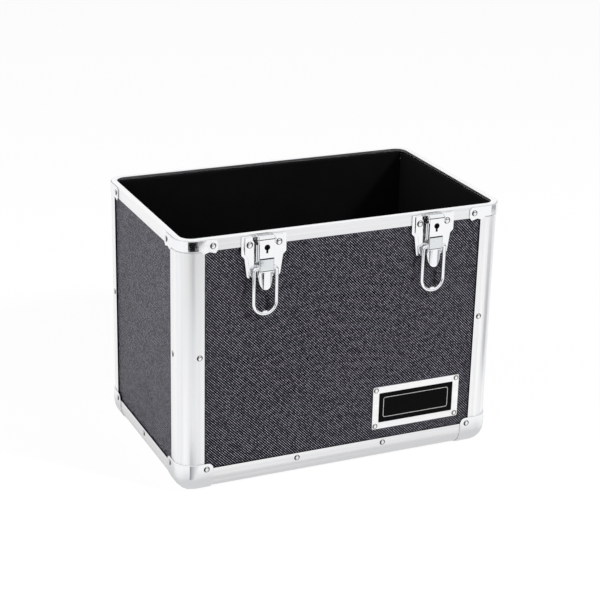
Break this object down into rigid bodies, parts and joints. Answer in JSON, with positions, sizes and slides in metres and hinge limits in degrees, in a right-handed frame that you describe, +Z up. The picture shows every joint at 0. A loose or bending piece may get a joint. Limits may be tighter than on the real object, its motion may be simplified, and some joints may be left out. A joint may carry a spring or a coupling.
{
  "type": "record carrying case",
  "caption": "Open-topped aluminium-framed carrying case for long-play records, with corner guards, lift-off hinge halves and keyed draw latches whose levers and wire bails swing.",
  "frame": {"origin": "on the floor under the middle of the bounding box", "axes": "+X to the right of the front along the long side, +Y from the front with the latches to the back, +Z up through the open mouth"},
  "size_m": [0.3594, 0.24, 0.2731],
  "materials": {
    "anodised_aluminium": "extruded, satin natural anodised",
    "chrome_plated_steel": "pressed sheet and wire, bright chrome plated",
    "zinc_plated_steel": "bright zinc plated",
    "black_laminate": "embossed black laminate on thin board",
    "black_foam": "matt black lining foam",
    "black_enamel": "smooth black enamel"
  },
  "bodies": {
    "case": {"badge_frame": "anodised_aluminium", "badge_insert": "black_enamel", "badge_rivet_lower_left": "zinc_plated_steel", "badge_rivet_lower_right": "zinc_plated_steel", "badge_rivet_upper_left": "zinc_plated_steel", "badge_rivet_upper_right": "zinc_plated_steel", "board_back": "black_laminate", "board_floor": "black_laminate", "board_front": "black_laminate", "board_left": "black_laminate", "board_right": "black_laminate", "bottom_rail_back": "anodised_aluminium", "bottom_rail_front": "anodised_aluminium", "bottom_rail_left": "anodised_aluminium", "bottom_rail_right": "anodised_aluminium", "corner_cap_back_left": "chrome_plated_steel", "corner_cap_back_right": "chrome_plated_steel", "corner_cap_front_left": "chrome_plated_steel", "corner_cap_front_right": "chrome_plated_steel", "left_hinge_leaf": "zinc_plated_steel", "left_hinge_pin": "zinc_plated_steel", "left_latch_plate": "chrome_plated_steel", "left_lever_pin": "chrome_plated_steel", "lining_back": "black_foam", "lining_floor": "black_foam", "lining_front": "black_foam", "lining_left": "black_foam", "lining_right": "black_foam", "post_back_left": "anodised_aluminium", "post_back_right": "anodised_aluminium", "post_front_left": "anodised_aluminium", "post_front_right": "anodised_aluminium", "right_hinge_leaf": "zinc_plated_steel", "right_hinge_pin": "zinc_plated_steel", "right_latch_plate": "chrome_plated_steel", "right_lever_pin": "chrome_plated_steel", "rim_bracket_back_left": "chrome_plated_steel", "rim_bracket_back_right": "chrome_plated_steel", "rim_bracket_front_left": "chrome_plated_steel", "rim_bracket_front_right": "chrome_plated_steel", "rim_frame": "anodised_aluminium"},
    "left_lever": {"left_latch_lever": "chrome_plated_steel", "left_lock_case": "zinc_plated_steel"},
    "left_bail": {"left_latch_bail": "chrome_plated_steel"},
    "left_bolt": {"left_lock_bolt": "zinc_plated_steel"},
    "right_lever": {"right_latch_lever": "chrome_plated_steel", "right_lock_case": "zinc_plated_steel"},
    "right_bail": {"right_latch_bail": "chrome_plated_steel"},
    "right_bolt": {"right_lock_bolt": "zinc_plated_steel"}
  },
  "joints": [
    {"name": "left_lever_hinge", "type": "hinge", "parent": "case", "child": "left_lever", "pos_m": [-0.0905, -0.11663, 0.26845], "axis": [-1, 0, 0], "range_deg": [0, 180]},
    {"name": "left_bail_swing", "type": "hinge", "parent": "left_lever", "child": "left_bail", "pos_m": [-0.0905, -0.11616, 0.23815], "axis": [-1, 0, 0], "range_deg": [0, 180]},
    {"name": "left_bolt_turn", "type": "hinge", "parent": "left_lever", "child": "left_bolt", "pos_m": [-0.0905, -0.11868, 0.26075], "axis": [0, 1, 0], "range_deg": [0, 90]},
    {"name": "right_lever_hinge", "type": "hinge", "parent": "case", "child": "right_lever", "pos_m": [0.0955, -0.11663, 0.26845], "axis": [-1, 0, 0], "range_deg": [0, 180]},
    {"name": "right_bail_swing", "type": "hinge", "parent": "right_lever", "child": "right_bail", "pos_m": [0.0955, -0.11616, 0.23815], "axis": [-1, 0, 0], "range_deg": [0, 180]},
    {"name": "right_bolt_turn", "type": "hinge", "parent": "right_lever", "child": "right_bolt", "pos_m": [0.0955, -0.11868, 0.26075], "axis": [0, 1, 0], "range_deg": [0, 90]}
  ]
}
